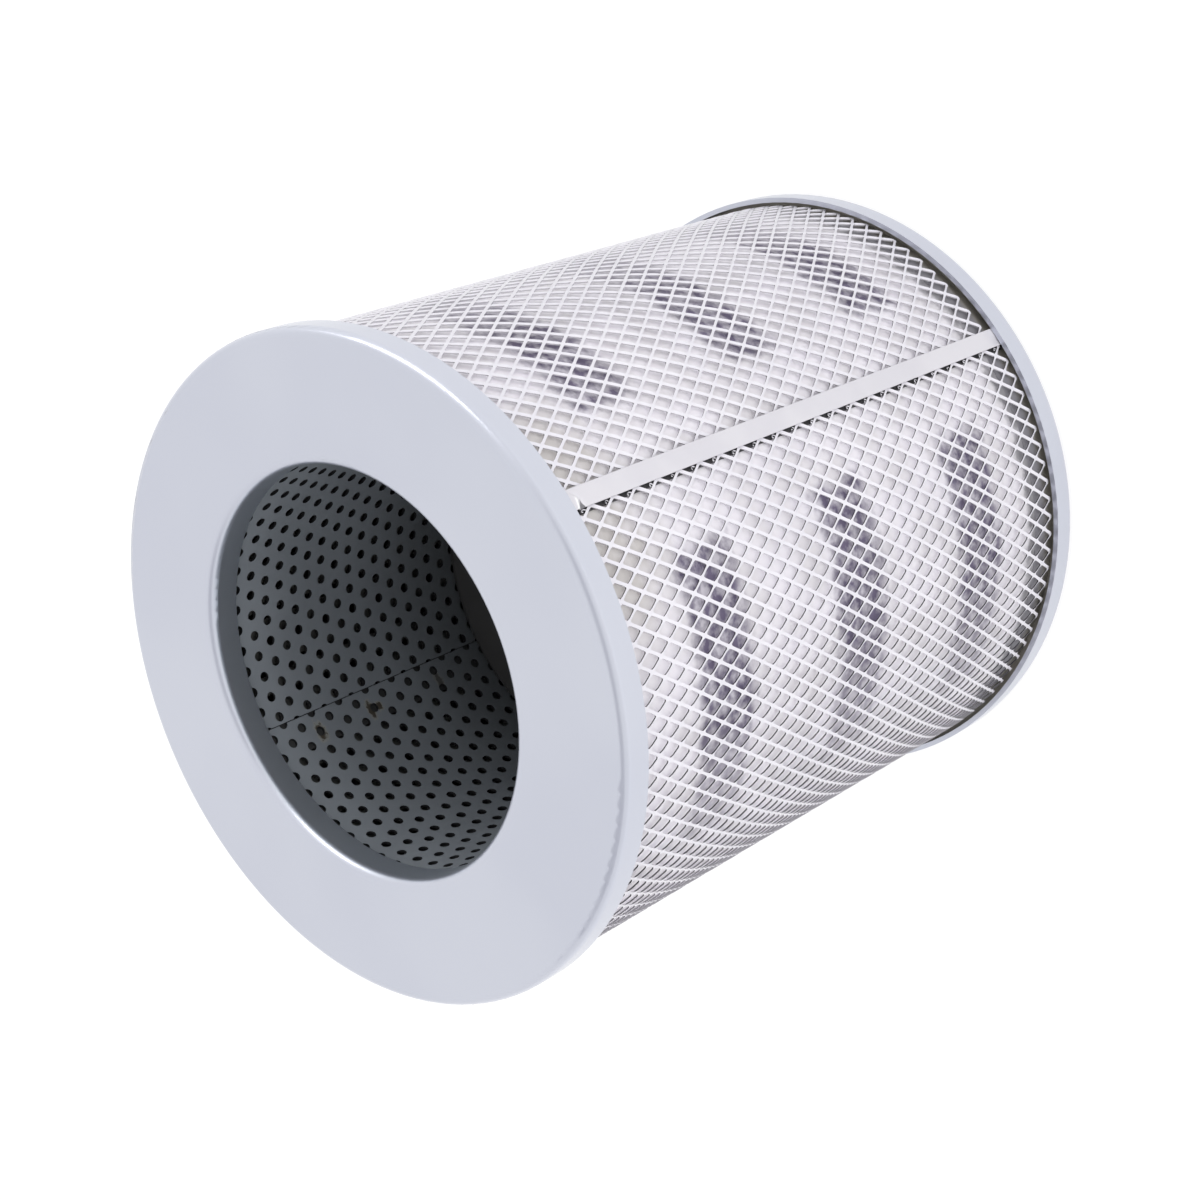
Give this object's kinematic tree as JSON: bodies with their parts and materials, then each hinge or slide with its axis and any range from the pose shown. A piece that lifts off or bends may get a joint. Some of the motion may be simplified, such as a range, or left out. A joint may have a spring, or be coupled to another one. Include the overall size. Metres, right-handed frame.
{
  "type": "hydraulic filter",
  "caption": "Cylindrical hydraulic filter element: pleated pack in an expanded-metal jacket, with a closed end cap, an open end cap and a perforated core.",
  "frame": {"origin": "centre of the closed rear cap's outer face, which the element stands on", "axes": "+Z along the element's axis, from the closed cap to the open cap; -Y towards the jacket's seam strip"},
  "size_m": [0.15, 0.15, 0.168],
  "materials": {
    "cap_paint": "satin pale blue-grey paint on drawn steel",
    "potting": "dark olive-grey cured adhesive",
    "core_steel": "dull zinc-coated perforated sheet",
    "plate_steel": "dull warm grey pressed sheet",
    "pack_wire_mesh": "fine coated wire mesh",
    "pack_fleece": "thin white nonwoven",
    "pack_glass_fibre": "matt glass-fibre sheet",
    "clip_steel": "plain folded sheet",
    "wrap_fleece": "white nonwoven with soft dark violet marks",
    "jacket_coating": "white coated expanded metal",
    "strip_coating": "pale coated flat strip"
  },
  "bodies": {
    "root": {"front_end_cap": "cap_paint", "rear_end_cap": "cap_paint", "front_potting": "potting", "rear_potting": "potting", "core_tube": "core_steel", "core_plate": "plate_steel", "downstream_mesh": "pack_wire_mesh", "downstream_fleece": "pack_fleece", "fine_glass_layer": "pack_glass_fibre", "coarse_glass_layer": "pack_glass_fibre", "upstream_fleece": "pack_fleece", "upstream_mesh": "pack_wire_mesh", "pleat_seam_clip": "clip_steel", "print_wrap": "wrap_fleece", "outer_jacket": "jacket_coating", "jacket_seam_strip": "strip_coating"}
  },
  "joints": []
}
